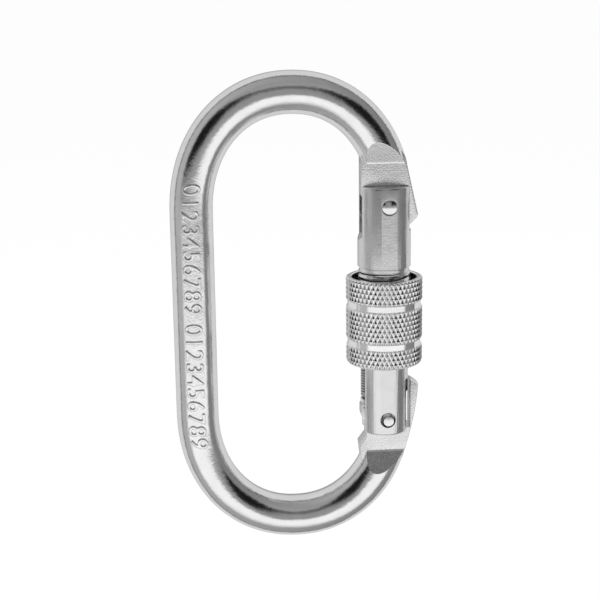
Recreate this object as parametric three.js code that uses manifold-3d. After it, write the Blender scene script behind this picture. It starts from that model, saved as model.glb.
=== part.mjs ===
// A full-size steel oval carabiner with a screw-lock gate, in millimetres: +Z up, gate at +X, front
// facing -Y. It hangs from the inside of its top bow, which is the part's origin.
import * as THREE from "three";
import { mergeVertices } from "three/addons/utils/BufferGeometryUtils.js";
import Module from "manifold-3d";

// ---- driving dimensions -------------------------------------------------------------------------

// the bent rod
const overallHeight = 110;
const rodDiameter = 9.7;
const spineReach = 22.7; // from the oval's middle to the centreline of the closed leg
const bowHeight = 26.6; // height of the centreline's curved end, over the end of the straight leg
const bowSquareness = 2.12; // exponent of the bow's superellipse: 2 is an ellipse, more is squarer
const tongueRootDepth = 1; // a tongue's root ends this far under the rod's surface

// the flattened ends of the rod
const tongueThickness = 5;
const tongueEdgeRound = 0.5;
const shoulderRise = 10.35; // from the end of the straight leg to the start of the flats
const rampLength = 5.1; // height of the sloping face between the flat and the round rod

// the gate bar
const gateInset = 1.6; // the gate's axis stands this much nearer the middle than the leg it replaces
const gateNoseDiameter = 12.2;
const gateThreadDiameter = 11.9;
const gateHingeDiameter = 11.2;
const gateTopOverPin = 4.4;
const gateEndUnderRivet = 3.35;
const gateEndChamfer = 0.5;
const threadTopUnderPin = 15.2;
const threadFootOverSleeve = 2.4; // the thread starts this far over the unlocked sleeve's lower end
const slotClearance = 0.3; // between a tongue's face and the cheek beside it
const noseSlotUnderPin = 6;
const runOutDepth = 2.2; // how far the saw's round run-out goes below the slot's floor at the inner side
const runOutReach = 3.4;

// the latch pin and the hinge rivet
const pinOutset = 0.45; // both stand this much outside the gate's axis
const latchPinOverLeg = 0.95; // over the end of the straight leg
const rivetUnderLeg = 2.45; // under the other end of the straight leg
const latchPinDiameter = 3.5;
const latchPinDome = 0.2;
const rivetDiameter = 2.4;
const rivetRecess = 0.3;
const rivetPlay = 0.6; // between the rivet and the cheeks' hole, all round
const rivetSag = 0.42; // how low the rivet sits in that hole
const rivetLean = 0.2; // and how far towards the hole's outer side
const pressClearance = 0.15; // round a pin held by its hole
const turnClearance = 0.3; // round a pin that its hole turns or slides on

// the nose, measured from the latch pin and the gate's axis
const noseInnerWall = 0.6; // how far the tongue's inner edge stands inside the gate's surface
const barbDepth = 5.4; // from the latch pin's axis to the bottom of the barb
const barbLeadIn = 2.9; // sloping corner under the barb
const spurReach = 1.5; // how far the spur's tip stands out from the gate
const spurWidestUnderPin = 2.9;
const spurTipSlope = 45; // degrees from the gate's axis

// the hinge end, measured from the rivet and the gate's axis
const camHeight = 3.15; // the flat top of the tongue, over the rivet's axis
const camInset = 0.1; // the cam's edge stands this far inside the gate's inner side
const camCorner = 0.6;
const camBevelTop = 0.5; // where the bevel under the cam starts, over the rivet's axis
const camBevelBottom = 1.6;
const neckInset = 1.1; // how far the neck under the cam stands back from the cam's edge
const neckBottom = 4.4;
const heelBottom = 6.6;
const heelReach = 0.5; // how far the heel stands out past the cam's edge
const hingeSpurTop = 9.1; // over the rivet's axis
const hingeSpurReach = 2.45;
const hingeSpurCorner = 1.9; // height of the chamfer at the spur's outer top corner
const hingeSpurCornerRun = 0.95;
const hingeSpurTopFall = 0.76; // how far the spur's top falls from its inner edge to the chamfer
const hingeSpurBulge = 0.6; // the spur's outer side bows this much less than its own width
const hingeSpurBulgeUnderRivet = 1;
const stopNotchWidth = 1.6; // the notch between the spur and the tongue
const stopNotchUnderRivet = 2.4; // how deep the notch goes
const stopClearance = 0.3; // between the closed gate and the spur it stops on

// the gate's spring and plunger
const springDiameter = 4.8;
const springWire = 0.42;
const springPitch = 0.62;
const springEndGap = 0.3;
const springTopOverRivet = 16.9;
const springWallGap = 0.3; // between the spring and the walls of its channel
const hingeSlotOverRivet = 6.5;
const plungerHeadHeight = 1;
const plungerStemDiameter = 2.4;
const plungerStemLength = 6;
const plungerEdge = 0.2;
const plungerGap = 0.3; // between the plunger and the cam it presses on

// the locking sleeve
const sleeveLength = 20.3;
const sleeveOverSpur = 4.3; // how far the unlocked sleeve stands over the hinge spur
const threadClearance = 0.3;
const sleeveMouthStep = 1.1; // how much wider than the thread the mouth is
const sleeveMouthDepth = 6;
const sleeveRim = 1.35;
const sleeveEdge = 0.5;
const grooveDepth = 0.4;
const grooveWidth = 1.4;
const upperGrooveFromTop = 5.45;
const lowerGrooveFromTop = 14.5;

// ---- sizes that follow --------------------------------------------------------------------------

const rodRadius = rodDiameter / 2;
const straightHalf = overallHeight / 2 - rodRadius - bowHeight;
const bowCrown = overallHeight / 2 - rodDiameter; // height of the bow's inner surface over the middle
const tongueHalf = tongueThickness / 2;
const slotHalf = tongueHalf + slotClearance;
const flatStart = straightHalf + shoulderRise;
const rampEnd = flatStart + rampLength;

const gateX = spineReach - gateInset;
const pinX = gateX + pinOutset;
const latchZ = straightHalf + latchPinOverLeg;
const rivetZ = -straightHalf - rivetUnderLeg;
const gateNoseRadius = gateNoseDiameter / 2;
const gateThreadRadius = gateThreadDiameter / 2;
const gateHingeRadius = gateHingeDiameter / 2;
const gateTop = latchZ + gateTopOverPin;
const gateBottom = rivetZ - gateEndUnderRivet;
const threadTop = latchZ - threadTopUnderPin;
const noseSlotFloor = latchZ - noseSlotUnderPin;
const latchPinRadius = latchPinDiameter / 2;
const rivetRadius = rivetDiameter / 2;
const barbZ = latchZ - barbDepth;

const rivetHoleRadius = rivetRadius + rivetPlay;

const camX = gateX - gateHingeRadius + camInset;
const camZ = rivetZ + camHeight;
const springRadius = springDiameter / 2;
const springX = camX + springRadius;
const springTop = rivetZ + springTopOverRivet;
const channelHalf = springRadius + springWallGap;
const channelEnd = springX + channelHalf;
const plungerBottom = camZ + plungerGap;
const plungerTop = plungerBottom + plungerHeadHeight;
const spurInner = gateX + gateHingeRadius + stopClearance;
const spurTopZ = rivetZ + hingeSpurTop;

const sleeveBore = Math.max(gateNoseRadius, gateHingeRadius) + threadClearance; // slides over both ends
const sleeveMouth = sleeveBore + sleeveMouthStep;
const sleeveRadius = sleeveMouth + sleeveRim;
const sleeveBottom = spurTopZ + sleeveOverSpur;
const threadBottom = sleeveBottom + threadFootOverSleeve;
const sleeveTop = sleeveBottom + sleeveLength;

const roundSegments = 48;
const smallSegments = 24;
const sleeveSegments = 64;
const sweepSteps = 80;
const bowShare = 0.4; // of the sweep's steps, for each bow
const rodSegments = 16;
const cutterReach = 40; // longer than anything it cuts

// ---- tools for solids ---------------------------------------------------------------------------

const wasm = await Module();
wasm.setup();

function toSolid(geometry) {
  const bare = geometry.clone();
  bare.deleteAttribute("normal");
  bare.deleteAttribute("uv");
  const merged = mergeVertices(bare, 1e-4);
  return new wasm.Manifold(
    new wasm.Mesh({
      numProp: 3,
      vertProperties: new Float32Array(merged.attributes.position.array),
      triVerts: new Uint32Array(merged.index.array),
    }),
  );
}

function toGeometry(solid) {
  const mesh = solid.getMesh();
  const geometry = new THREE.BufferGeometry();
  geometry.setAttribute("position", new THREE.BufferAttribute(mesh.vertProperties, 3));
  geometry.setIndex(new THREE.BufferAttribute(mesh.triVerts, 1));
  geometry.computeVertexNormals();
  return geometry;
}

// A closed outline in the XZ plane, thickened equally to both sides of the mid-plane.
function plateGeometry(shape, thickness, edgeRound) {
  const geometry = new THREE.ExtrudeGeometry(shape, {
    depth: thickness - 2 * edgeRound,
    bevelEnabled: edgeRound > 0,
    bevelThickness: edgeRound,
    bevelSize: edgeRound,
    bevelOffset: -edgeRound,
    bevelSegments: 2,
    curveSegments: 10,
  });
  geometry.translate(0, 0, edgeRound - thickness / 2);
  geometry.rotateX(Math.PI / 2);
  return geometry;
}

function outline(points) {
  return new THREE.Shape(points.map(([x, z]) => new THREE.Vector2(x, z)));
}

// A round bar along Y through the point (x, z).
function crossBar(radius, length, x, z) {
  const geometry = new THREE.CylinderGeometry(radius, radius, length, smallSegments);
  return geometry.translate(x, 0, z);
}

// A profile of [radius, height] pairs turned about the gate's axis.
function turned(profile, segments) {
  const points = profile.map(([r, z]) => new THREE.Vector2(r, z));
  const geometry = new THREE.LatheGeometry(points, segments);
  return geometry.rotateX(Math.PI / 2).translate(gateX, 0, 0);
}

function box(x0, x1, y0, y1, z0, z1) {
  const geometry = new THREE.BoxGeometry(x1 - x0, y1 - y0, z1 - z0);
  return geometry.translate((x0 + x1) / 2, (y0 + y1) / 2, (z0 + z1) / 2);
}

function namedMesh(name, geometry, colour, roughness) {
  const material = new THREE.MeshStandardMaterial({ color: colour, roughness, metalness: 1 });
  const mesh = new THREE.Mesh(geometry, material);
  mesh.name = name;
  return mesh;
}

// ---- frame body ---------------------------------------------------------------------------------

// Half-width of the centreline at a height over the oval's middle.
function railReach(z) {
  const over = Math.max(0, Math.abs(z) - straightHalf) / bowHeight;
  return spineReach * Math.pow(1 - Math.pow(over, bowSquareness), 1 / bowSquareness);
}

// The rod's centreline: from the nose over the top bow, down the spine and round the bottom bow.
class RodLine extends THREE.Curve {
  getPoint(t) {
    // both ends stop half-way up the shoulders, inside the tongues
    const firstAngle = Math.asin(Math.pow(shoulderRise / 2 / bowHeight, bowSquareness / 2));
    const fromEnd = Math.min(t, 1 - t);
    if (fromEnd < bowShare) {
      const angle = firstAngle + (fromEnd / bowShare) * (Math.PI - firstAngle);
      return bowPoint(angle, t < bowShare ? 1 : -1);
    }
    const down = (t - bowShare) / (1 - 2 * bowShare);
    return new THREE.Vector3(-spineReach, 0, straightHalf * (1 - 2 * down));
  }
}

// A point of the top (side 1) or bottom (side -1) bow; angle 0 is on the gate's side, PI on the spine's.
function bowPoint(angle, side) {
  const across = Math.cos(angle);
  const up = Math.max(0, Math.sin(angle));
  const x = Math.sign(across) * spineReach * Math.pow(Math.abs(across), 2 / bowSquareness);
  const z = straightHalf + bowHeight * Math.pow(up, 2 / bowSquareness);
  return new THREE.Vector3(x, 0, side * z);
}

function rodSolid() {
  const circle = new THREE.Shape().absarc(0, 0, rodRadius, 0, 2 * Math.PI);
  const swept = new THREE.ExtrudeGeometry(circle, {
    steps: sweepSteps,
    curveSegments: rodSegments,
    extrudePath: new RodLine(),
  });
  const gateSide = box(0, cutterReach, -cutterReach, cutterReach, -flatStart, flatStart);
  return toSolid(swept).subtract(toSolid(gateSide));
}

// The wedge that slopes the round rod down to the flat of the tongue, on one face of one end.
function rampCutter(end, face) {
  const rampSlope = rampLength / (rodRadius - tongueHalf);
  const topZ = flatStart + rampSlope * (rodDiameter - tongueHalf);
  const wedge = new THREE.ExtrudeGeometry(
    outline([
      [tongueHalf, straightHalf],
      [rodDiameter, straightHalf],
      [rodDiameter, topZ],
      [tongueHalf, flatStart],
    ]),
    { depth: cutterReach, bevelEnabled: false },
  );
  wedge.rotateX(Math.PI / 2).rotateZ(Math.PI / 2);
  if (face < 0) wedge.rotateZ(Math.PI).translate(cutterReach, 0, 0);
  if (end < 0) wedge.rotateX(Math.PI);
  return toSolid(wedge);
}

// Offset point of the centreline at a height: positive offsets lie outside the oval.
function beside(z, offset) {
  const step = 0.05;
  const slope = (railReach(z + step) - railReach(z - step)) / (2 * step);
  const length = Math.hypot(1, slope);
  return [railReach(z) + offset / length, z - (offset * slope) / length];
}

// The nose: a hook that the latch pin swings into from the inside, and a spur outside the gate.
function noseSolid() {
  const innerX = gateX - gateNoseRadius + noseInnerWall;
  const notchRadius = latchPinRadius + turnClearance;
  const swing = latchZ - rivetZ;
  const mouthRun = pinX - innerX;
  const pinDrop = swing - Math.sqrt(swing * swing - mouthRun * mouthRun);
  const cornerX = gateX + gateNoseRadius + spurReach;
  const rootInset = rodRadius - tongueRootDepth;
  const shape = new THREE.Shape();
  shape.moveTo(...beside(rampEnd, rootInset));
  shape.lineTo(...beside(flatStart, rodRadius));
  shape.quadraticCurveTo(gateX + gateNoseRadius, gateTop, cornerX, latchZ - spurWidestUnderPin);
  shape.lineTo(cornerX, barbZ);
  shape.lineTo(innerX + barbLeadIn, barbZ);
  shape.lineTo(innerX, latchZ - notchRadius - pinDrop);
  shape.lineTo(pinX, latchZ - notchRadius);
  shape.absarc(pinX, latchZ, notchRadius, -Math.PI / 2, Math.PI / 2, false);
  shape.lineTo(innerX, latchZ + notchRadius);
  shape.lineTo(innerX, flatStart);
  shape.lineTo(...beside(rampEnd, -rootInset));
  const plate = toSolid(plateGeometry(shape, tongueThickness, tongueEdgeRound));
  return plate.intersect(toSolid(spurTipCone(cornerX - gateX)));
}

// Everything inside a cone about the gate's axis, which tapers the spur's tip for the sleeve to rise round.
function spurTipCone(widest) {
  const widestZ = latchZ - spurWidestUnderPin;
  const run = widest / Math.tan(THREE.MathUtils.degToRad(spurTipSlope));
  return turned(
    [
      [0, widestZ - run],
      [widest, widestZ],
      [cutterReach, widestZ],
      [cutterReach, overallHeight],
      [0, overallHeight],
    ],
    roundSegments,
  );
}

// The hinge end: a tongue with a flat cam for the plunger, and a spur that the closed gate stops on.
function hingeEndSolid() {
  const spurX = gateX + gateHingeRadius + hingeSpurReach;
  const rootInset = rodRadius - tongueRootDepth;
  const neckX = camX + neckInset;
  const shape = new THREE.Shape();
  shape.moveTo(...beside(-rampEnd, rootInset));
  shape.lineTo(...beside(-flatStart, rodRadius));
  shape.quadraticCurveTo(
    spurX - hingeSpurBulge,
    rivetZ - hingeSpurBulgeUnderRivet,
    spurX,
    spurTopZ - hingeSpurCorner,
  );
  shape.lineTo(spurX - hingeSpurCornerRun, spurTopZ - hingeSpurTopFall);
  shape.lineTo(spurInner, spurTopZ);
  shape.lineTo(spurInner, camZ);
  shape.lineTo(camX + camCorner, camZ);
  shape.lineTo(camX, camZ - camCorner);
  shape.lineTo(camX, rivetZ + camBevelTop);
  shape.lineTo(neckX, rivetZ - camBevelBottom);
  shape.lineTo(neckX, rivetZ - neckBottom);
  shape.lineTo(camX - heelReach, rivetZ - heelBottom);
  shape.lineTo(...beside(-rampEnd, -rootInset));
  const notch = box(
    spurInner - stopNotchWidth,
    spurInner,
    -tongueThickness,
    tongueThickness,
    rivetZ - stopNotchUnderRivet,
    spurTopZ,
  );
  return toSolid(plateGeometry(shape, tongueThickness, tongueEdgeRound)).subtract(toSolid(notch));
}

function frameBody() {
  const rivetHole = crossBar(rivetRadius + pressClearance, cutterReach, pinX, rivetZ);
  let solid = rodSolid();
  for (const end of [1, -1]) {
    for (const face of [1, -1]) solid = solid.subtract(rampCutter(end, face));
  }
  solid = solid.add(noseSolid()).add(hingeEndSolid()).subtract(toSolid(rivetHole));
  return namedMesh("frame_body", toGeometry(solid), 0xc9ccd0, 0.18);
}

// ---- gate bar -----------------------------------------------------------------------------------

function gateBlank() {
  const chamfer = gateEndChamfer;
  return turned(
    [
      [0, gateBottom],
      [gateHingeRadius - chamfer, gateBottom],
      [gateHingeRadius, gateBottom + chamfer],
      [gateHingeRadius, threadBottom],
      [gateThreadRadius, threadBottom + chamfer],
      [gateThreadRadius, threadTop],
      [gateNoseRadius, threadTop + chamfer],
      [gateNoseRadius, gateTop - chamfer],
      [gateNoseRadius - chamfer, gateTop],
      [0, gateTop],
    ],
    roundSegments,
  );
}

// The nose's slot, open to both sides, with the saw's round run-out at the gate's inner side.
function noseSlot() {
  const innerX = gateX - cutterReach;
  const surfaceX = gateX - gateNoseRadius;
  const shape = new THREE.Shape();
  shape.moveTo(gateX + cutterReach, noseSlotFloor);
  shape.lineTo(gateX + cutterReach, overallHeight);
  shape.lineTo(innerX, overallHeight);
  shape.lineTo(innerX, noseSlotFloor - runOutDepth);
  shape.lineTo(surfaceX, noseSlotFloor - runOutDepth);
  shape.quadraticCurveTo(
    surfaceX + runOutReach / 3,
    noseSlotFloor,
    surfaceX + runOutReach,
    noseSlotFloor,
  );
  return toSolid(plateGeometry(shape, 2 * slotHalf, 0));
}

// The hinge tongue's slot goes right through; over it the spring's channel opens to the inner side only.
function hingeSlot() {
  const through = box(
    gateX - cutterReach,
    gateX + cutterReach,
    -slotHalf,
    slotHalf,
    gateBottom - cutterReach,
    rivetZ + hingeSlotOverRivet,
  );
  const channel = box(
    gateX - cutterReach,
    channelEnd,
    -channelHalf,
    channelHalf,
    gateBottom - cutterReach,
    springTop,
  );
  return toSolid(through).add(toSolid(channel));
}

function gateBar() {
  const latchHole = crossBar(latchPinRadius + pressClearance, cutterReach, pinX, latchZ);
  const rivetHole = crossBar(rivetHoleRadius, cutterReach, pinX - rivetLean, rivetZ + rivetSag);
  const solid = toSolid(gateBlank())
    .subtract(noseSlot())
    .subtract(hingeSlot())
    .subtract(toSolid(latchHole))
    .subtract(toSolid(rivetHole));
  return namedMesh("gate_bar", toGeometry(solid), 0xbfc2c6, 0.22);
}

// ---- pins ---------------------------------------------------------------------------------------

// A pin along Y with domed ends, whose tips reach the given distance from the mid-plane.
function domedPin(radius, reach, dome) {
  const profile = [[0, -reach]];
  const domeSteps = 4;
  for (let i = 1; i <= domeSteps; i += 1) {
    const share = i / domeSteps;
    profile.push([radius * share, -reach + dome * share * share]);
  }
  for (let i = domeSteps; i >= 1; i -= 1) {
    const share = i / domeSteps;
    profile.push([radius * share, reach - dome * share * share]);
  }
  profile.push([0, reach]);
  const points = profile.map(([r, y]) => new THREE.Vector2(r, y));
  return new THREE.LatheGeometry(points, smallSegments);
}

// How far the gate's surface stands from the mid-plane at the pins.
function cheekSurface(gateRadius) {
  return Math.sqrt(gateRadius * gateRadius - pinOutset * pinOutset);
}

function latchPin() {
  const mesh = namedMesh(
    "latch_pin",
    domedPin(latchPinRadius, cheekSurface(gateNoseRadius), latchPinDome),
    0xd8dadd,
    0.25,
  );
  mesh.position.set(pinX, 0, latchZ);
  return mesh;
}

function hingeRivet() {
  const reach = cheekSurface(gateHingeRadius) - rivetRecess;
  const mesh = namedMesh("hinge_rivet", domedPin(rivetRadius, reach, latchPinDome), 0xd8dadd, 0.3);
  mesh.position.set(pinX, 0, rivetZ);
  return mesh;
}

// ---- gate spring and plunger --------------------------------------------------------------------

class CoilLine extends THREE.Curve {
  constructor(radius, height, turns) {
    super();
    this.radius = radius;
    this.height = height;
    this.turns = turns;
  }

  getPoint(t) {
    const angle = 2 * Math.PI * this.turns * t;
    return new THREE.Vector3(
      this.radius * Math.cos(angle),
      this.radius * Math.sin(angle),
      this.height * t,
    );
  }
}

function gateSpring() {
  const bottom = plungerTop + springWire / 2 + springEndGap;
  const top = springTop - springWire / 2 - springEndGap;
  const turns = Math.round((top - bottom) / springPitch);
  const stepsPerTurn = 16;
  const wire = new THREE.Shape().absarc(0, 0, springWire / 2, 0, 2 * Math.PI);
  const geometry = new THREE.ExtrudeGeometry(wire, {
    steps: turns * stepsPerTurn,
    curveSegments: 4,
    extrudePath: new CoilLine(springRadius - springWire / 2, top - bottom, turns),
  });
  const mesh = namedMesh("gate_spring", geometry, 0x9a9da2, 0.35);
  mesh.position.set(springX, 0, bottom);
  return mesh;
}

function springPlunger() {
  const stemRadius = plungerStemDiameter / 2;
  const points = [
    [0, plungerBottom],
    [springRadius - plungerEdge, plungerBottom],
    [springRadius, plungerBottom + plungerEdge],
    [springRadius, plungerTop],
    [stemRadius, plungerTop],
    [stemRadius, plungerTop + plungerStemLength - plungerEdge],
    [stemRadius - plungerEdge, plungerTop + plungerStemLength],
    [0, plungerTop + plungerStemLength],
  ].map(([r, z]) => new THREE.Vector2(r, z));
  const geometry = new THREE.LatheGeometry(points, smallSegments).rotateX(Math.PI / 2);
  const mesh = namedMesh("spring_plunger", geometry, 0xc4c6ca, 0.3);
  mesh.position.set(springX, 0, 0);
  return mesh;
}

// ---- locking sleeve -----------------------------------------------------------------------------

function groove(fromTop) {
  const top = sleeveTop - fromTop;
  const bottom = top - grooveWidth;
  const floor = sleeveRadius - grooveDepth;
  const flare = grooveDepth / 2;
  return [
    [sleeveRadius, bottom - flare],
    [floor, bottom],
    [floor, top],
    [sleeveRadius, top + flare],
  ];
}

function lockingSleeve() {
  const profile = [
    [sleeveBore, sleeveBottom],
    [sleeveRadius - sleeveEdge, sleeveBottom],
    [sleeveRadius, sleeveBottom + sleeveEdge],
    ...groove(lowerGrooveFromTop),
    ...groove(upperGrooveFromTop),
    [sleeveRadius, sleeveTop - sleeveEdge / 2],
    [sleeveRadius - sleeveEdge / 2, sleeveTop],
    [sleeveMouth, sleeveTop],
    [sleeveMouth, sleeveTop - sleeveMouthDepth],
    [sleeveBore, sleeveTop - sleeveMouthDepth],
    [sleeveBore, sleeveBottom],
  ];
  return namedMesh("locking_sleeve", turned(profile, sleeveSegments), 0xb9bcc0, 0.3);
}

// ---- the whole carabiner ------------------------------------------------------------------------

const carabiner = new THREE.Group();
carabiner.name = "oval_screwgate_carabiner";
carabiner.add(
  frameBody(),
  gateBar(),
  latchPin(),
  hingeRivet(),
  gateSpring(),
  springPlunger(),
  lockingSleeve(),
);
carabiner.position.set(0, 0, -bowCrown);

export default carabiner;
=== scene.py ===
"""The steel oval screw-lock carabiner in Blender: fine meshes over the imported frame, plated-steel
materials, a reflecting studio and the camera. Metres throughout, +Z up, gate at +X, front facing -Y."""

import math

import bmesh
import bpy
from mathutils import Matrix, Vector


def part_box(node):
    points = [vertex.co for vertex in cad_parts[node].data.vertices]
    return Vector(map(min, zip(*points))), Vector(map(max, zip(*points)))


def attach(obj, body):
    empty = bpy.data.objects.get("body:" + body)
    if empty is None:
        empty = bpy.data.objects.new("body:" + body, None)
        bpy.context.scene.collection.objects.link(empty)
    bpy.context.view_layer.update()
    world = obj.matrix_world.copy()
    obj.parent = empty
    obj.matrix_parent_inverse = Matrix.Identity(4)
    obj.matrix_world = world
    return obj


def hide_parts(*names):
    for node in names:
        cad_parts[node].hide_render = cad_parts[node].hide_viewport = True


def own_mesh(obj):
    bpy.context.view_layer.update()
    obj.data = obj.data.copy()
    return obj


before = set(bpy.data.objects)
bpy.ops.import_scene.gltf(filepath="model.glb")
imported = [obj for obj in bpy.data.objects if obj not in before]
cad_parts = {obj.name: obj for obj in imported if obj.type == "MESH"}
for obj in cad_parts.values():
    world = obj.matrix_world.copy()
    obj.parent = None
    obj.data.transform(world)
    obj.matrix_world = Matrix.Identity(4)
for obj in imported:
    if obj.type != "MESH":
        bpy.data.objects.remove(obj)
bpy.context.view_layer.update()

MM = 0.001
FULL_TURN = 2 * math.pi

# ---- places and sizes read from the frame -------------------------------------------------------

frame_low, frame_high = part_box("frame_body")
gate_low, gate_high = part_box("gate_bar")
pin_low, pin_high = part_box("latch_pin")
rivet_low, rivet_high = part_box("hinge_rivet")
spring_low, spring_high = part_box("gate_spring")
plunger_low, plunger_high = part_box("spring_plunger")
sleeve_low, sleeve_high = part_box("locking_sleeve")

ROD_RADIUS = (frame_high[1] - frame_low[1]) / 2
MIDDLE_Z = (frame_high[2] + frame_low[2]) / 2
SPINE_REACH = -frame_low[0] - ROD_RADIUS
BOW_HEIGHT = 26.6 * MM
BOW_SQUARENESS = 2.12
STRAIGHT_HALF = (frame_high[2] - frame_low[2]) / 2 - ROD_RADIUS - BOW_HEIGHT

GATE_X = (gate_low[0] + gate_high[0]) / 2
GATE_NOSE_RADIUS = (gate_high[0] - gate_low[0]) / 2
GATE_THREAD_RADIUS = GATE_NOSE_RADIUS - 0.15 * MM
GATE_HINGE_RADIUS = GATE_NOSE_RADIUS - 0.5 * MM
PIN_X = (pin_low[0] + pin_high[0]) / 2
PIN_Z = (pin_low[2] + pin_high[2]) / 2
PIN_RADIUS = (pin_high[0] - pin_low[0]) / 2
RIVET_Z = (rivet_low[2] + rivet_high[2]) / 2
RIVET_RADIUS = (rivet_high[0] - rivet_low[0]) / 2
SPRING_X = (spring_low[0] + spring_high[0]) / 2
SPRING_RADIUS = (spring_high[0] - spring_low[0]) / 2
SLEEVE_RADIUS = (sleeve_high[0] - sleeve_low[0]) / 2

# ---- sizes of the flattened ends, slots, thread and fits, as the CAD was built with --------------

TONGUE_HALF = 2.5 * MM
TONGUE_EDGE = 0.2 * MM
NOSE_DRAFT = 0.2 * MM  # how far a tongue's outer side leans in from its middle to its faces
HINGE_DRAFT = 0.55 * MM
PARTING_HALF = 0.4 * MM  # half the height of the upright band at the middle of a tongue's side
FLAT_START = STRAIGHT_HALF + 10.35 * MM
RAMP_END = FLAT_START + 5.1 * MM
BARB_Z = PIN_Z - 5.4 * MM
BARB_LEAD_IN = 2.9 * MM
NOSE_INNER_X = GATE_X - GATE_NOSE_RADIUS + 0.6 * MM
NOTCH_RADIUS = 2.05 * MM
PLATE_INSET = 1 * MM  # how far inside the rod's surface a tongue begins
SPUR_X = GATE_X + GATE_NOSE_RADIUS + 1.5 * MM
SPUR_WIDEST_Z = PIN_Z - 2.9 * MM
SPUR_ROUND = 0.8 * MM
CAM_X = GATE_X - GATE_HINGE_RADIUS + 0.1 * MM
CAM_Z = RIVET_Z + 3.15 * MM
HINGE_SPUR_TOP = RIVET_Z + 9.1 * MM
HINGE_SPUR_X = GATE_X + GATE_HINGE_RADIUS + 2.45 * MM
HINGE_SPUR_CORNER = 1.9 * MM
CAM_CHAMFER = 0.6 * MM
SPUR_INNER_X = GATE_X + GATE_HINGE_RADIUS + 0.3 * MM
STOP_NOTCH_WIDTH = 1.6 * MM
STOP_NOTCH_FLOOR = RIVET_Z - 2.4 * MM

SLOT_HALF = TONGUE_HALF + 0.3 * MM
NOSE_SLOT_FLOOR = PIN_Z - 6 * MM
HINGE_SLOT_TOP = RIVET_Z + 6.5 * MM
SPRING_CHANNEL_TOP = RIVET_Z + 16.9 * MM
THREAD_TOP = PIN_Z - 15.2 * MM
THREAD_BOTTOM = sleeve_low[2] + 2.4 * MM

PIN_HOLE_FIT = 0.06 * MM  # room round the latch pin, on the radius
FRAME_RIVET_FIT = 0.05 * MM  # room round the rivet in the tongue, on the radius
GATE_RIVET_FIT = 0.6 * MM  # the loose fit of the rivet in the gate's cheeks
RIVET_SAG = 0.42 * MM  # how far under its hole's middle the rivet sits
RIVET_LEAN = 0.2 * MM
CHANNEL_FIT = 0.3 * MM
BORE_FIT = 0.3 * MM

REACH = 40 * MM  # longer than anything a cutter passes through
SMOOTH_UNDER = math.radians(18)  # edges that turn less than this are shaded smooth


# ---- mesh tools ---------------------------------------------------------------------------------

def finish_mesh(mesh):
    """Outward faces, and smooth shading that keeps the true edges crisp."""
    work = bmesh.new()
    work.from_mesh(mesh)
    bmesh.ops.remove_doubles(work, verts=work.verts, dist=1e-7)
    bmesh.ops.recalc_face_normals(work, faces=work.faces)
    work.to_mesh(mesh)
    work.free()
    mesh.shade_smooth()
    mesh.set_sharp_from_angle(angle=SMOOTH_UNDER)


def mesh_object(name, points, faces):
    mesh = bpy.data.meshes.new(name)
    mesh.from_pydata(points, [], faces)
    finish_mesh(mesh)
    piece = bpy.data.objects.new(name, mesh)
    bpy.context.scene.collection.objects.link(piece)
    return piece


def bake_modifiers(piece):
    """Replaces the object's mesh by what its modifiers make of it."""
    bpy.context.view_layer.update()
    shown = piece.evaluated_get(bpy.context.evaluated_depsgraph_get())
    mesh = bpy.data.meshes.new_from_object(shown)
    piece.modifiers.clear()
    piece.data = mesh
    finish_mesh(mesh)


def combine(piece, other, operation):
    """Boolean of two closed meshes; the second one is used up."""
    step = piece.modifiers.new("combine", "BOOLEAN")
    step.operation = operation
    step.solver = "EXACT"
    step.object = other
    bake_modifiers(piece)
    bpy.data.objects.remove(other)


def rings_mesh(name, rows, segments, loop=False):
    """A body of revolution about Z: rows of (height, radius or function of the turn angle), bottom to
    top. A radius of 0 makes a pole; loop joins the last row back to the first."""
    points = []
    starts = []
    for height, radius in rows:
        if radius == 0:
            starts.append((len(points), 1))
            points.append((0, 0, height))
            continue
        starts.append((len(points), segments))
        for i in range(segments):
            angle = FULL_TURN * i / segments
            reach = radius(angle) if callable(radius) else radius
            points.append((reach * math.cos(angle), reach * math.sin(angle), height))
    pairs = list(zip(starts, starts[1:]))
    if loop:
        pairs.append((starts[-1], starts[0]))
    faces = []
    for (a, size_a), (b, size_b) in pairs:
        for i in range(segments):
            j = (i + 1) % segments
            if size_a == 1:
                faces.append((a, b + j, b + i))
            elif size_b == 1:
                faces.append((a + i, a + j, b))
            else:
                faces.append((a + i, a + j, b + j, b + i))
    return mesh_object(name, points, faces)


def move_mesh(piece, x=0.0, y=0.0, z=0.0):
    piece.data.transform(Matrix.Translation((x, y, z)))
    return piece


def cross_bar(name, rows, x, z, segments=64):
    """A body of revolution laid along Y, through the point (x, z)."""
    bar = rings_mesh(name, rows, segments)
    bar.data.transform(Matrix.Rotation(math.pi / 2, 4, "X"))
    return move_mesh(bar, x, 0, z)


def drill(piece, radius, x, z):
    """A hole through the piece along Y."""
    rows = [(-REACH, 0), (-REACH, radius), (REACH, radius), (REACH, 0)]
    combine(piece, cross_bar("cutter", rows, x, z), "DIFFERENCE")


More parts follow.
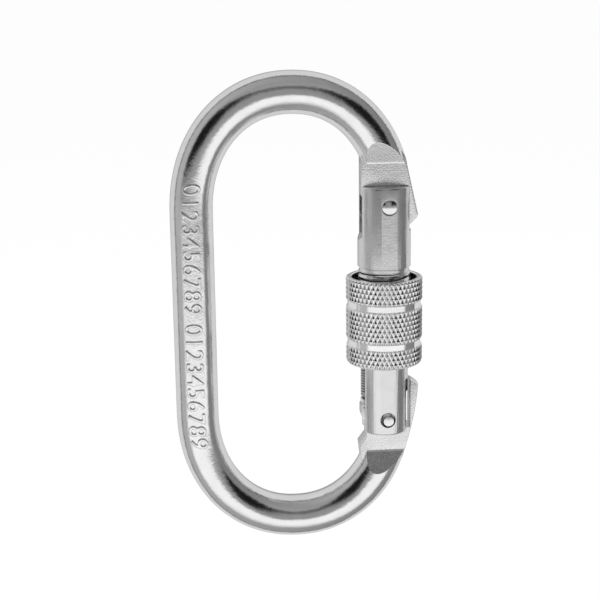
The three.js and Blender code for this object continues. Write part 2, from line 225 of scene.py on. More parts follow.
def swept_tube(name, path, radius, sides):
    """A round tube along a list of points, with flat ends, without twist."""
    points = []
    along = (path[1] - path[0]).normalized()
    side = along.orthogonal().normalized()
    for i, centre in enumerate(path):
        ahead = path[min(i + 1, len(path) - 1)] - path[max(i - 1, 0)]
        turn = along.rotation_difference(ahead.normalized())
        along = ahead.normalized()
        side = (turn @ side).normalized()
        other = along.cross(side)
        for k in range(sides):
            angle = FULL_TURN * k / sides
            points.append(centre + radius * (math.cos(angle) * side + math.sin(angle) * other))
    faces = [tuple(range(sides)), tuple(len(points) - 1 - k for k in range(sides))]
    for i in range(len(path) - 1):
        for k in range(sides):
            n = (k + 1) % sides
            faces.append((i * sides + k, i * sides + n, (i + 1) * sides + n, (i + 1) * sides + k))
    return mesh_object(name, points, faces)


def prism(name, rings):
    """A closed body through rings of as many points each, with a flat face on the first and last ring."""
    count = len(rings[0])
    points = [point for ring in rings for point in ring]
    faces = [tuple(range(count)), tuple(range(len(points) - 1, len(points) - count - 1, -1))]
    for start in range(0, len(points) - count, count):
        for i in range(count):
            j = (i + 1) % count
            faces.append((start + i, start + i + count, start + j + count, start + j))
    return mesh_object(name, points, faces)


def plate(name, outline, half_thickness, edge=0.0, draft=0.0, drafted=0):
    """An outline of (x, z) pairs thickened to both sides of the mid-plane, with rounded edges. The side
    along the first drafted points, which looks to +X, leans in by the draft towards both faces."""
    leaning = [(x - draft, z) if i < drafted else (x, z) for i, (x, z) in enumerate(outline)]
    rings = [[(x, y, z) for x, z in leaning] for y in (-half_thickness, half_thickness)]
    if drafted:
        rings[1:1] = [[(x, y, z) for x, z in outline] for y in (-PARTING_HALF, PARTING_HALF)]
    piece = prism(name, rings)
    if edge:
        step = piece.modifiers.new("edges", "BEVEL")
        step.width = edge
        step.segments = 4
        step.limit_method = "ANGLE"
        step.angle_limit = math.radians(30)
        bake_modifiers(piece)
    return piece


def block(name, x0, x1, y0, y1, z0, z1):
    piece = plate(name, [(x0, z0), (x1, z0), (x1, z1), (x0, z1)], (y1 - y0) / 2)
    return move_mesh(piece, y=(y0 + y1) / 2)


def arc(x, z, radius, start, end, steps):
    angles = [start + (end - start) * i / steps for i in range(steps + 1)]
    return [(x + radius * math.cos(a), z + radius * math.sin(a)) for a in angles]


def quadratic(start, control, end, steps=16):
    """Points of a quadratic curve, without its first one."""
    corners = (start, control, end)
    points = []
    for i in range(1, steps + 1):
        t = i / steps
        weights = ((1 - t) ** 2, 2 * t * (1 - t), t * t)
        points.append(tuple(sum(w * p[k] for w, p in zip(weights, corners)) for k in (0, 1)))
    return points


# ---- the rod and its ends -----------------------------------------------------------------------

def rail_reach(z):
    """Half-width of the rod's centreline at a height over the oval's middle."""
    over = max(0.0, abs(z) - STRAIGHT_HALF) / BOW_HEIGHT
    return SPINE_REACH * (1 - over**BOW_SQUARENESS) ** (1 / BOW_SQUARENESS)


def beside(z, offset):
    """A point beside the centreline: positive offsets lie outside the oval. Heights are over its middle."""
    step = 0.05 * MM
    slope = (rail_reach(z + step) - rail_reach(z - step)) / (2 * step)
    length = math.hypot(1, slope)
    return rail_reach(z) + offset / length, MIDDLE_Z + z - offset * slope / length


def bow_point(angle, side):
    """Angle 0 is on the gate's side and pi on the spine's; side is 1 for the top bow, -1 for the bottom."""
    across = math.cos(angle)
    x = math.copysign(SPINE_REACH * abs(across) ** (2 / BOW_SQUARENESS), across)
    z = STRAIGHT_HALF + BOW_HEIGHT * max(0.0, math.sin(angle)) ** (2 / BOW_SQUARENESS)
    return Vector((x, 0, MIDDLE_Z + side * z))


def rod_path():
    """The centreline from the nose over the top bow, down the spine and round the bottom bow."""
    bow_steps = 160
    leg_steps = 60
    end_rise = 5.2 * MM  # how far up the bow the rod begins, in what make_frame cuts away
    start = math.asin((end_rise / BOW_HEIGHT) ** (BOW_SQUARENESS / 2))
    angles = [start + (math.pi - start) * i / bow_steps for i in range(bow_steps + 1)]
    path = [bow_point(a, 1) for a in angles]
    for i in range(1, leg_steps):
        path.append(Vector((-SPINE_REACH, 0, MIDDLE_Z + STRAIGHT_HALF * (1 - 2 * i / leg_steps))))
    path += [bow_point(a, -1) for a in reversed(angles)]
    return path


def ramp_cutter(end, face):
    """The wedge that slopes the round rod down to the flat of a tongue."""
    rise = (RAMP_END - FLAT_START) / (ROD_RADIUS - TONGUE_HALF)
    slope = math.atan(1 / rise)
    hollow = 3 * MM  # radius of the hollow at the ramp's foot
    foot = FLAT_START - hollow * math.tan(slope / 2)
    outer = 2 * ROD_RADIUS
    profile = [(TONGUE_HALF, STRAIGHT_HALF), (outer, STRAIGHT_HALF)]
    profile.append((outer, FLAT_START + rise * (outer - TONGUE_HALF)))
    profile += arc(TONGUE_HALF + hollow, foot, hollow, math.pi - slope, math.pi, 8)
    return prism("cutter", [[(x, face * y, MIDDLE_Z + end * z) for y, z in profile] for x in (0.0, REACH)])


def nose_plate():
    """The hook that the latch pin swings into from the inside, and the spur outside the gate."""
    root = ROD_RADIUS - PLATE_INSET
    swing = PIN_Z - RIVET_Z
    drop = swing - math.sqrt(swing**2 - (PIN_X - NOSE_INNER_X) ** 2)
    shoulder = beside(FLAT_START, ROD_RADIUS)
    outline = [beside(RAMP_END, root), shoulder]
    spur_corner = (SPUR_X, SPUR_WIDEST_Z + SPUR_ROUND)
    spur_foot = (SPUR_X - SPUR_ROUND, SPUR_WIDEST_Z - SPUR_ROUND)
    outline += quadratic(shoulder, (GATE_X + GATE_NOSE_RADIUS, gate_high[2]), spur_corner)
    outline += quadratic(spur_corner, (SPUR_X, SPUR_WIDEST_Z), spur_foot, steps=8)
    drafted = len(outline)
    outline += [(SPUR_X - SPUR_ROUND, BARB_Z), (NOSE_INNER_X + BARB_LEAD_IN, BARB_Z)]
    outline.append((NOSE_INNER_X, PIN_Z - NOTCH_RADIUS - drop))
    outline += arc(PIN_X, PIN_Z, NOTCH_RADIUS, -math.pi / 2, math.pi / 2, 24)
    outline += [(NOSE_INNER_X, PIN_Z + NOTCH_RADIUS), (NOSE_INNER_X, MIDDLE_Z + FLAT_START)]
    outline.append(beside(RAMP_END, -root))
    piece = plate("nose", outline, TONGUE_HALF, TONGUE_EDGE, NOSE_DRAFT, drafted)
    combine(piece, sleeve_lead_in(), "INTERSECT")
    return piece


def sleeve_lead_in():
    """What the spur's tip is trimmed to: a cone about the gate, which the raised sleeve runs up over."""
    widest = SPUR_X - GATE_X
    step = 0.1 * MM
    top = frame_high[2] + REACH
    rows = [(SPUR_WIDEST_Z - widest, 0), (SPUR_WIDEST_Z, widest), (SPUR_WIDEST_Z + step, REACH)]
    rows += [(top, REACH), (top + MM, 0)]
    return move_mesh(rings_mesh("cone", rows, segments=96), x=GATE_X)


def hinge_plate():
    """The tongue with the plunger's flat cam, and the spur that the closed gate stops on."""
    root = ROD_RADIUS - PLATE_INSET
    neck_x = CAM_X + 1.1 * MM
    neck_top = RIVET_Z - 1.6 * MM
    neck_bottom = RIVET_Z - 4.4 * MM
    cam_foot = RIVET_Z + 0.5 * MM
    heel = (CAM_X - 0.5 * MM, RIVET_Z - 6.6 * MM)
    shoulder = beside(-FLAT_START, ROD_RADIUS)
    bulge = (HINGE_SPUR_X - 0.6 * MM, RIVET_Z - 1 * MM)
    corner = (HINGE_SPUR_X, HINGE_SPUR_TOP - HINGE_SPUR_CORNER)
    crown = (HINGE_SPUR_X, HINGE_SPUR_TOP - 0.7 * MM)
    outline = [beside(-RAMP_END, root), shoulder]
    outline += quadratic(shoulder, bulge, corner)
    outline += quadratic(corner, crown, (SPUR_INNER_X, HINGE_SPUR_TOP), steps=8)
    drafted = len(outline) - 1
    outline += [(SPUR_INNER_X, CAM_Z), (CAM_X + CAM_CHAMFER, CAM_Z), (CAM_X, CAM_Z - CAM_CHAMFER)]
    outline += [(CAM_X, cam_foot), (neck_x, neck_top), (neck_x, neck_bottom), heel]
    outline.append(beside(-RAMP_END, -root))
    piece = plate("hinge_end", outline, TONGUE_HALF, TONGUE_EDGE, HINGE_DRAFT, drafted)
    notch_inner = SPUR_INNER_X - STOP_NOTCH_WIDTH
    notch = block("cutter", notch_inner, SPUR_INNER_X, -REACH, REACH, STOP_NOTCH_FLOOR, HINGE_SPUR_TOP)
    combine(piece, notch, "DIFFERENCE")
    return piece


def make_frame():
    """The bent rod, cut open for the gate, with a tongue let into each sloped end."""
    rod = swept_tube("frame_rod", rod_path(), ROD_RADIUS, 96)
    gap_low = MIDDLE_Z - FLAT_START
    gap_high = MIDDLE_Z + FLAT_START
    combine(rod, block("cutter", 0.0, REACH, -REACH, REACH, gap_low, gap_high), "DIFFERENCE")
    for end in (1, -1):
        for face in (1, -1):
            combine(rod, ramp_cutter(end, face), "DIFFERENCE")
    combine(rod, nose_plate(), "UNION")
    combine(rod, hinge_plate(), "UNION")
    drill(rod, RIVET_RADIUS + FRAME_RIVET_FIT, PIN_X, RIVET_Z)
    return rod


def make_numerals():
    """A plain run of raised figures down the front of the spine, wrapped on the round rod."""
    character_height = 4.4 * MM
    run_top = 30.9 * MM  # over the oval's middle
    relief = 0.28 * MM
    half_depth = 0.5 * MM
    text = bpy.data.curves.new("raised_numerals", "FONT")
    text.body = "0123456789 0123456789"
    text.size = 5.6 * MM
    text.space_character = 1.08
    text.extrude = half_depth
    text.offset = 0.12 * MM
    source = bpy.data.objects.new("source", text)
    bpy.context.scene.collection.objects.link(source)
    piece = bpy.data.objects.new("raised_numerals", bpy.data.meshes.new("raised_numerals"))
    bpy.context.scene.collection.objects.link(piece)
    bpy.context.view_layer.update()
    shown = source.evaluated_get(bpy.context.evaluated_depsgraph_get())
    piece.data = bpy.data.meshes.new_from_object(shown)
    bpy.data.objects.remove(source)
    remesh = piece.modifiers.new("even", "REMESH")
    remesh.mode = "VOXEL"
    remesh.voxel_size = 0.13 * MM
    soften = piece.modifiers.new("soften", "SMOOTH")
    soften.factor = 0.5
    soften.iterations = 4
    bake_modifiers(piece)
    for vertex in piece.data.vertices:
        down, across, up = vertex.co
        angle = (across - character_height / 2) / ROD_RADIUS
        reach = ROD_RADIUS - half_depth + relief + up
        height = run_top - down
        x = reach * math.sin(angle) - rail_reach(height)
        vertex.co = (x, -reach * math.cos(angle), MIDDLE_Z + height)
    finish_mesh(piece.data)
    return piece


# ---- the gate -----------------------------------------------------------------------------------

def thread_rows():
    """The gate's middle: a V thread cut into the bar."""
    pitch = 1.5 * MM
    depth = 0.45 * MM
    run_out = 1 * MM  # the thread fades away over this length at both ends
    per_turn = 10
    count = round((THREAD_TOP - THREAD_BOTTOM) / pitch * per_turn)

    def crest(height):
        def radius(angle):
            phase = (height / pitch - angle / FULL_TURN) % 1.0
            fade = min(1.0, (height - THREAD_BOTTOM) / run_out, (THREAD_TOP - height) / run_out)
            return GATE_THREAD_RADIUS - depth * max(0.0, fade) * abs(2 * phase - 1)

        return radius

    heights = [THREAD_BOTTOM + (THREAD_TOP - THREAD_BOTTOM) * i / count for i in range(1, count)]
    return [(z, crest(z)) for z in heights]


def rounded_end(radius, end_z, inward, edge):
    """Rows of a rounded rim, from the flat end to the side."""
    steps = 5
    rows = []
    for i in range(steps + 1):
        angle = math.pi / 2 * i / steps
        height = end_z + inward * edge * (1 - math.cos(angle))
        rows.append((height, radius - edge * (1 - math.sin(angle))))
    return rows


def gate_blank():
    """The turned bar: hinge end, thread, a plain undercut where the thread runs out, and nose end."""
    edge = 0.45 * MM
    step = 0.1 * MM
    undercut = GATE_THREAD_RADIUS - 0.25 * MM
    undercut_top = THREAD_TOP + 0.7 * MM
    nose_bottom = THREAD_TOP + 0.9 * MM
    rows = [(gate_low[2], 0)]
    rows += rounded_end(GATE_HINGE_RADIUS, gate_low[2], 1, edge)
    rows += [(THREAD_BOTTOM - step, GATE_HINGE_RADIUS), (THREAD_BOTTOM, GATE_THREAD_RADIUS)]
    rows += thread_rows()
    rows += [(THREAD_TOP, undercut), (undercut_top, undercut), (nose_bottom, GATE_NOSE_RADIUS)]
    rows += list(reversed(rounded_end(GATE_NOSE_RADIUS, gate_high[2], -1, edge)))
    rows.append((gate_high[2], 0))
    return move_mesh(rings_mesh("gate_turned", rows, 120), x=GATE_X)


def nose_slot():
    """The cutter of the upper slot, whose floor curves down to the gate's inner side."""
    above = gate_high[2] + REACH
    inner_x = GATE_X - GATE_NOSE_RADIUS
    bottom = NOSE_SLOT_FLOOR - 2.2 * MM
    control = (inner_x + 1.1 * MM, NOSE_SLOT_FLOOR)
    sweep_end = (inner_x + 3.4 * MM, NOSE_SLOT_FLOOR)
    outline = [(GATE_X + REACH, NOSE_SLOT_FLOOR), (GATE_X + REACH, above), (GATE_X - REACH, above)]
    outline += [(GATE_X - REACH, bottom), (inner_x, bottom)]
    outline += quadratic((inner_x, bottom), control, sweep_end)
    return plate("cutter", outline, SLOT_HALF)


def open_slot(end_x, top):
    """The cutter of a slot from the gate's inner side to end_x, and from its foot up to top."""
    return block("cutter", GATE_X - REACH, end_x, -SLOT_HALF, SLOT_HALF, gate_low[2] - REACH, top)


def make_gate():
    gate = gate_blank()
    combine(gate, nose_slot(), "DIFFERENCE")
    combine(gate, open_slot(GATE_X + REACH, HINGE_SLOT_TOP), "DIFFERENCE")
    channel_end = SPRING_X + SPRING_RADIUS + CHANNEL_FIT
    combine(gate, open_slot(channel_end, SPRING_CHANNEL_TOP), "DIFFERENCE")
    drill(gate, PIN_RADIUS + PIN_HOLE_FIT, PIN_X, PIN_Z)
    drill(gate, RIVET_RADIUS + GATE_RIVET_FIT, PIN_X - RIVET_LEAN, RIVET_Z + RIVET_SAG)
    return gate


def domed_rows(radius, reach, dome):
    """Rows of a pin whose two ends bulge by the dome."""
    steps = 10
    shares = [i / steps for i in range(steps + 1)]
    near = [(-reach + dome * s * s, radius * s) for s in shares]
    far = [(reach - dome * s * s, radius * s) for s in reversed(shares)]
    return near + far


def make_latch_pin():
    rows = domed_rows(PIN_RADIUS, pin_high[1], dome=0.35 * MM)
    return cross_bar("latch_pin_fine", rows, PIN_X, PIN_Z)


def make_rivet():
    rows = domed_rows(RIVET_RADIUS, rivet_high[1], dome=0.08 * MM)
    return cross_bar("hinge_rivet_fine", rows, PIN_X, RIVET_Z)


def make_spring():
    wire = 0.21 * MM  # radius
    pitch = 0.62 * MM
    per_turn = 36
    height = spring_high[2] - spring_low[2] - 2 * wire
    turns = round(height / pitch)
    coil = SPRING_RADIUS - wire
    path = []
    for i in range(turns * per_turn + 1):
        angle = FULL_TURN * i / per_turn
        rise = height * i / (turns * per_turn)
        spot = (SPRING_X + coil * math.cos(angle), coil * math.sin(angle), spring_low[2] + wire + rise)
        path.append(Vector(spot))
    return swept_tube("gate_spring_fine", path, wire, 14)


def make_plunger():
    stem = 1.2 * MM
    head_edge = 0.25 * MM
    tip_edge = 0.3 * MM
    head_top = plunger_low[2] + 1 * MM
    rows = [(plunger_low[2], 0)]
    rows += rounded_end(SPRING_RADIUS, plunger_low[2], 1, head_edge)
    rows += [(head_top, SPRING_RADIUS), (head_top, stem)]
    rows += list(reversed(rounded_end(stem, plunger_high[2], -1, tip_edge)))
    rows.append((plunger_high[2], 0))
    return move_mesh(rings_mesh("spring_plunger_fine", rows, 64), x=SPRING_X)


# ---- the locking sleeve -------------------------------------------------------------------------

KNURLS_ROUND = 50
KNURL_HEIGHT = 2.2 * MM
KNURL_DEPTH = 0.36 * MM
KNURL_STEPS = 10  # mesh steps across one knurl, both ways, so that its edges follow the mesh
KNURL_FILL = 1.25  # over 1, the knurls' points are cut flat
GROOVE_WIDTH = 1.4 * MM
GROOVE_DEPTH = 0.4 * MM
GROOVE_TOPS = (sleeve_high[2] - 5.45 * MM, sleeve_high[2] - 14.5 * MM)
SLEEVE_EDGE = 0.5 * MM


def saw_peak(value):
    """0 in the groove between two knurls and 1 half-way between two grooves."""
    return 1 - abs(2 * (value % 1.0) - 1)


def knurled_radius(height):
    """The sleeve's radius round one height, rounded off towards the ends of its band."""
    edge = min(
        height - sleeve_low[2],
        2 * (sleeve_high[2] - height),
        *(min(abs(height - top), abs(height - top + GROOVE_WIDTH)) * 2 for top in GROOVE_TOPS),
    )
    limit = SLEEVE_RADIUS - max(0.0, SLEEVE_EDGE - edge)

    def radius(angle):
        around = KNURLS_ROUND * angle / FULL_TURN
        along = (height - sleeve_low[2]) / KNURL_HEIGHT
        peak = min(saw_peak(around + along), saw_peak(around - along))
        return min(limit, SLEEVE_RADIUS - KNURL_DEPTH * (1 - min(1.0, KNURL_FILL * peak)))

    return radius


def band_rows(low, high):
    """Rows of one knurled band, on the knurl's own mesh steps, and at the band's two ends."""
    step = KNURL_HEIGHT / KNURL_STEPS
    spare = 0.2  # share of a step that is kept free at the band's ends
    first = math.ceil((low - sleeve_low[2]) / step + spare)
    last = math.floor((high - sleeve_low[2]) / step - spare)
    heights = [low] + [sleeve_low[2] + k * step for k in range(first, last + 1)] + [high]
    return [(z, knurled_radius(z)) for z in heights]


def groove_rows(top):
    """The flat floor of a groove, between its two steep walls."""
    floor = SLEEVE_RADIUS - GROOVE_DEPTH
    wall = 0.05 * MM
    return [(top - GROOVE_WIDTH + wall, floor), (top - wall, floor)]


def make_sleeve():
    """The knurled ring, with its wide mouth at the top that rises over the nose's spur."""
    bore = GATE_NOSE_RADIUS + BORE_FIT
    mouth = bore + 1.1 * MM
    mouth_floor = sleeve_high[2] - 6 * MM
    rim = 0.15 * MM
    upper, lower = GROOVE_TOPS
    rows = band_rows(sleeve_low[2], lower - GROOVE_WIDTH)
    rows += groove_rows(lower)
    rows += band_rows(lower, upper - GROOVE_WIDTH)
    rows += groove_rows(upper)
    rows += band_rows(upper, sleeve_high[2])
    rows += [(sleeve_high[2], mouth + rim), (sleeve_high[2] - rim, mouth)]
    rows += [(mouth_floor, mouth), (mouth_floor, bore)]
    rows += [(sleeve_low[2] + rim, bore), (sleeve_low[2], bore + rim)]
    sleeve = rings_mesh("sleeve_knurled", rows, KNURLS_ROUND * KNURL_STEPS, loop=True)
    return move_mesh(sleeve, x=GATE_X)


# ---- materials ----------------------------------------------------------------------------------

CLOUD_SIZE = 4 * MM
SPECK_SIZE = 0.35 * MM
WAVE_SIZE = 9 * MM
DENT_SIZE = 1.3 * MM
LINE_WIDTH = 0.3 * MM
LINE_LENGTH = 15 * MM


def node_of(tree, kind, **values):
    """A new node; each value goes to the input of that name, or else to the node's own setting."""
    node = tree.nodes.new(kind)
    for key, value in values.items():
        if key in node.inputs:
            node.inputs[key].default_value = value
        else:
            setattr(node, key, value)
    return node


def noise(tree, coordinates, size, detail, stretch=(1, 1, 1)):
    """A noise texture whose features are about the given size in metres."""
    mapping = node_of(tree, "ShaderNodeMapping", Scale=stretch)
    texture = node_of(tree, "ShaderNodeTexNoise", Scale=1 / size, Detail=detail, Roughness=0.55)
    tree.links.new(coordinates, mapping.inputs["Vector"])
    tree.links.new(mapping.outputs["Vector"], texture.inputs["Vector"])
    return texture.outputs["Fac"]


def remap(tree, value, low, high, start=0.3, end=0.7):
    """Stretches start to end over low to high. The defaults are where a noise's values mostly lie."""
    node = node_of(tree, "ShaderNodeMapRange")
    node.inputs["From Min"].default_value = start
    node.inputs["From Max"].default_value = end
    node.inputs["To Min"].default_value = low
    node.inputs["To Max"].default_value = high
    tree.links.new(value, node.inputs["Value"])
    return node.outputs["Result"]


def bump(tree, height, distance, normal):
    """Adds bumps of the given depth to a normal."""
    node = node_of(tree, "ShaderNodeBump", Distance=distance, Strength=1.0)
    tree.links.new(height, node.inputs["Height"])
    tree.links.new(normal, node.inputs["Normal"])
    return node.outputs["Normal"]


def plated_steel(name, dark, light, smooth, rough, grain, dents=0.0, wave=0.0, drawn=0.0, edge=0.12):
    """Bright plated steel, dark to light in colour and smooth to rough. The depths are in mm: a fine
    plating grain, shallow dents, the forging's slow waves, and lines drawn along Z. Edges within the edge
    distance, in mm too, look worn soft."""
    material = bpy.data.materials.new(name)
    material.use_nodes = True
    tree = material.node_tree
    shader = tree.nodes["Principled BSDF"]
    shader.inputs["Metallic"].default_value = 1.0
    coordinates = node_of(tree, "ShaderNodeTexCoord").outputs["Object"]

    clouds = noise(tree, coordinates, CLOUD_SIZE, detail=4.0)
    specks = noise(tree, coordinates, SPECK_SIZE, detail=4.0)
    mottle = node_of(tree, "ShaderNodeMath", operation="ADD")
    tree.links.new(remap(tree, clouds, 0.0, 0.5), mottle.inputs[0])
    tree.links.new(remap(tree, specks, 0.0, 0.5), mottle.inputs[1])
    colour = blend_nodes(tree, mottle.outputs[0], dark, light)
    tree.links.new(colour, shader.inputs["Base Color"])
    tree.links.new(remap(tree, specks, smooth, rough), shader.inputs["Roughness"])

    soft = node_of(tree, "ShaderNodeBevel", Radius=edge * MM, samples=4)
    waves = noise(tree, coordinates, WAVE_SIZE, detail=1.0)
    normal = bump(tree, waves, wave * MM, soft.outputs["Normal"])
    dimples = noise(tree, coordinates, DENT_SIZE, detail=2.0)
    normal = bump(tree, dimples, dents * MM, normal)
    normal = bump(tree, specks, grain * MM, normal)
    if drawn:
        lines = noise(tree, coordinates, LINE_WIDTH, detail=2.0, stretch=(1, 1, LINE_WIDTH / LINE_LENGTH))
        normal = bump(tree, lines, drawn * MM, normal)
    tree.links.new(normal, shader.inputs["Normal"])
    return material


def paint_ground_faces(piece, material):
    """The milled flats, ramps and walls are the only large faces."""
    piece.data.materials.append(material)
    smallest = 3 * MM**2
    for face in piece.data.polygons:
        if face.area > smallest:
            face.material_index = 1


def finish_piece(piece, body, slot, material, *nodes):
    """Gives a piece its material and its body, and hides the CAD nodes that it stands for. The slot is not
    used.
    """
    piece.data.materials.clear()
    piece.data.materials.append(material)
    if nodes:
        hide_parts(*nodes)
    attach(piece, body)


def make_rod_steel():
    """Mirror-bright plating over the forged rod, with its waves and dents."""
    dark = (0.83, 0.83, 0.84, 1)
    light = (0.93, 0.93, 0.93, 1)
    return plated_steel("rod_steel", dark, light, 0.09, 0.18, grain=0.022, dents=0.03, wave=0.12, edge=0.2)


def make_gate_steel():
    """Plating over a drawn bar, with its fine lines."""
    dark = (0.72, 0.72, 0.73, 1)
    light = (0.84, 0.84, 0.84, 1)
    return plated_steel("gate_steel", dark, light, 0.12, 0.22, 0.015, dents=0.01, wave=0.02, drawn=0.05)


def make_pin_steel():
    dark = (0.82, 0.82, 0.83, 1)
    light = (0.92, 0.92, 0.92, 1)
    return plated_steel("pin_steel", dark, light, 0.12, 0.24, grain=0.006)


def make_sleeve_steel():
    """The brightest plating, on the knurls."""
    dark = (0.94, 0.94, 0.95, 1)
    light = (1.0, 1.0, 1.0, 1)
    return plated_steel("sleeve_steel", dark, light, 0.1, 0.2, grain=0.006, edge=0.05)


def make_spring_steel():
    """Bare, dull spring wire."""
    dark = (0.5, 0.5, 0.51, 1)
    light = (0.66, 0.66, 0.66, 1)
    return plated_steel("spring_steel", dark, light, 0.25, 0.4, grain=0.003)


def make_ground_steel():
    """Plating over milled flats: grainy and satin."""
    dark = (0.78, 0.78, 0.79, 1)
    light = (1.0, 1.0, 1.0, 1)
    return plated_steel("ground_steel", dark, light, 0.22, 0.34, grain=0.06, wave=0.02, edge=0.25)


def make_object():
    """Every visible piece, with the body that it moves with."""
    rod_steel = make_rod_steel()
    pin_steel = make_pin_steel()
    frame_piece = make_frame()
    finish_piece(frame_piece, "frame", "frame_steel", rod_steel, "frame_body")
    paint_ground_faces(frame_piece, make_ground_steel())
    finish_piece(make_numerals(), "frame", "frame_steel", rod_steel)
    finish_piece(make_gate(), "gate", "gate_steel", make_gate_steel(), "gate_bar")
    finish_piece(make_latch_pin(), "gate", "pin_steel", pin_steel, "latch_pin")
    finish_piece(make_rivet(), "frame", "pin_steel", pin_steel, "hinge_rivet")
    finish_piece(make_plunger(), "plunger", "plunger_steel", pin_steel, "spring_plunger")
    finish_piece(make_sleeve(), "sleeve", "sleeve_steel", make_sleeve_steel(), "locking_sleeve")
    spring = make_spring()
    finish_piece(spring, "gate", "spring_steel", make_spring_steel(), "gate_spring")
    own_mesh(spring)


# ---- the studio ---------------------------------------------------------------------------------

SCREEN_GAMMA = 2.2
WHITE = (1, 1, 1, 1)
NEAR_BLACK = (0.01, 0.01, 0.01, 1)


def ramp_of(tree, value, stops):
    """A colour ramp read as a brightness. The value, a part of a direction, runs from -1 to 1, and stops are
    (value, brightness as it shows on a screen)."""
    low = -1.0
    high = 1.0
    scaled = remap(tree, value, 0.0, 1.0, low, high)
    ramp = node_of(tree, "ShaderNodeValToRGB")
    elements = ramp.color_ramp.elements
    elements.remove(elements[1])
    for i, (at, level) in enumerate(stops):
        place = (at - low) / (high - low)
        element = elements[0] if i == 0 else elements.new(place)
        element.position = place
        element.color = (level**SCREEN_GAMMA,) * 3 + (1,)
    tree.links.new(scaled, ramp.inputs["Fac"])
    return ramp.outputs["Color"]


def blend_nodes(tree, share, first, second):
    """A mix of two colours. Each source is a socket or a plain value."""
    node = node_of(tree, "ShaderNodeMix", data_type="RGBA")
    for key, source in (("Factor_Float", share), ("A_Color", first), ("B_Color", second)):
        socket = next(s for s in node.inputs if s.identifier == key)
        if isinstance(source, (int, float, tuple)):
            socket.default_value = source
        else:
            tree.links.new(source, socket)
    return next(s for s in node.outputs if s.identifier == "Result_Color")


def make_studio():
    """A room without end that bright steel mirrors as bands: pale behind and low in front, greyer higher
    up, with two dark corners. The camera itself sees plain white."""
    world = bpy.data.worlds.new("studio")
    bpy.context.scene.world = world
    world.use_nodes = True
    tree = world.node_tree
    background = tree.nodes["Background"]
    direction = node_of(tree, "ShaderNodeTexCoord").outputs["Generated"]
    parts = node_of(tree, "ShaderNodeSeparateXYZ")
    tree.links.new(direction, parts.inputs["Vector"])
    x, y, z = parts.outputs
    sideways = node_of(tree, "ShaderNodeMath", operation="ABSOLUTE")
    tree.links.new(x, sideways.inputs[0])

    # y is -1 towards the front of the object and 1 behind it. The ring is the narrow band at its sides, and
    # the corners are the two darkest patches, high up at the left and right of the front.
    ring = ramp_of(tree, x, [(-1.0, 0.7), (0.0, 0.6), (1.0, 0.5)])
    back = ramp_of(tree, y, [(0.13, 0.25), (0.19, 0.25), (0.23, 0.86), (0.85, 0.84), (0.97, 0.62)])
    room = blend_nodes(tree, ramp_of(tree, y, [(0.1, 0.0), (0.13, 1.0)]), ring, back)
    front_stops = [(-1.0, 0.5), (-0.9, 0.6), (-0.72, 0.95), (-0.6, 1.0), (-0.24, 1.0), (-0.17, 0.62)]
    front_stops += [(-0.05, 0.58), (0.3, 0.58), (0.42, 0.4), (0.55, 0.4), (0.65, 0.62), (1.0, 0.55)]
    front = ramp_of(tree, z, front_stops)
    corner_height = ramp_of(tree, z, [(0.0, 0.0), (0.1, 1.0), (0.55, 1.0), (0.68, 0.0)])
    corner_side = ramp_of(tree, sideways.outputs[0], [(0.18, 0.0), (0.36, 1.0)])
    corner = node_of(tree, "ShaderNodeMath", operation="MULTIPLY")
    tree.links.new(corner_height, corner.inputs[0])
    tree.links.new(corner_side, corner.inputs[1])
    front = blend_nodes(tree, corner.outputs[0], front, NEAR_BLACK)
    open_front = ramp_of(tree, y, [(-0.52, 1.0), (-0.42, 0.0)])
    seen = blend_nodes(tree, open_front, room, front)

    rays = node_of(tree, "ShaderNodeLightPath")
    shown = blend_nodes(tree, rays.outputs["Is Camera Ray"], seen, WHITE)
    tree.links.new(shown, background.inputs["Color"])


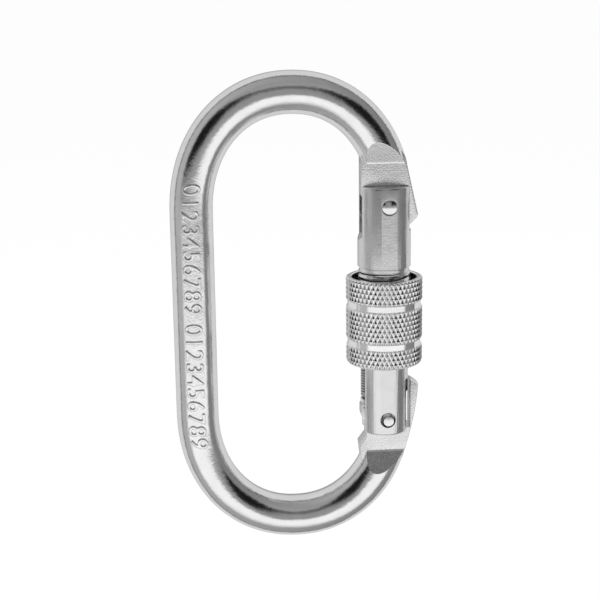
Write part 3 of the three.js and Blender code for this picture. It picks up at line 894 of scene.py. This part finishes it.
def make_floor():
    """A plain pale floor under the hanging carabiner. It keeps a soft shadow."""
    drop = 180 * MM
    half = 20.0
    glow_share = 0.97  # of what the camera sees; the rest is the floor's own shading
    z = frame_low[2] - drop
    corners = [(-half, -half, z), (half, -half, z), (half, half, z), (-half, half, z)]
    floor = mesh_object("floor", corners, [(0, 1, 2, 3)])
    material = bpy.data.materials.new("floor_white")
    material.use_nodes = True
    tree = material.node_tree
    tree.nodes.remove(tree.nodes["Principled BSDF"])
    matte = node_of(tree, "ShaderNodeBsdfDiffuse", Color=(0.95, 0.95, 0.95, 1))
    glow = node_of(tree, "ShaderNodeEmission", Strength=1.0)
    rays = node_of(tree, "ShaderNodeLightPath")
    share = node_of(tree, "ShaderNodeMath", operation="MULTIPLY")
    share.inputs[1].default_value = glow_share
    mix = node_of(tree, "ShaderNodeMixShader")
    tree.links.new(rays.outputs["Is Camera Ray"], share.inputs[0])
    tree.links.new(share.outputs[0], mix.inputs["Fac"])
    tree.links.new(matte.outputs[0], mix.inputs[1])
    tree.links.new(glow.outputs[0], mix.inputs[2])
    tree.links.new(mix.outputs[0], tree.nodes["Material Output"].inputs["Surface"])
    floor.data.materials.append(material)
    floor.visible_glossy = False


def make_lamp():
    """A broad soft lamp overhead that lights the floor; the steel mirrors only the room."""
    height = 1.2
    data = bpy.data.lights.new("overhead", "AREA")
    data.shape = "SQUARE"
    data.size = height
    data.energy = 30
    lamp = bpy.data.objects.new("overhead", data)
    lamp.location = (0, 0, height)
    lamp.visible_glossy = False
    bpy.context.scene.collection.objects.link(lamp)


def make_camera():
    """The camera stands a little left of the object and above it, and looks slightly right and down."""
    offset = Vector((-22.4 * MM, -308.5 * MM, 78.7 * MM))  # from the oval's middle
    yaw = math.radians(4.45)
    pitch = math.radians(13.83)
    roll = math.radians(-0.775)
    heading = Vector((math.sin(yaw), math.cos(yaw), 0))
    ahead = math.cos(pitch) * heading - Vector((0, 0, math.sin(pitch)))
    level = Vector((math.cos(yaw), -math.sin(yaw), 0))
    upright = level.cross(ahead)
    right = math.cos(roll) * level + math.sin(roll) * upright
    up = math.cos(roll) * upright - math.sin(roll) * level
    data = bpy.data.cameras.new("camera")
    data.lens = 83.06
    data.sensor_width = 36
    data.clip_start = 0.01
    data.clip_end = 100
    camera = bpy.data.objects.new("camera", data)
    place = Matrix((right, up, -ahead)).transposed().to_4x4()
    place.translation = offset + Vector((0, 0, MIDDLE_Z))
    camera.matrix_world = place
    bpy.context.scene.collection.objects.link(camera)
    bpy.context.scene.camera = camera


bpy.context.scene.view_settings.view_transform = "Standard"
make_camera()
make_object()
make_studio()
make_lamp()
make_floor()
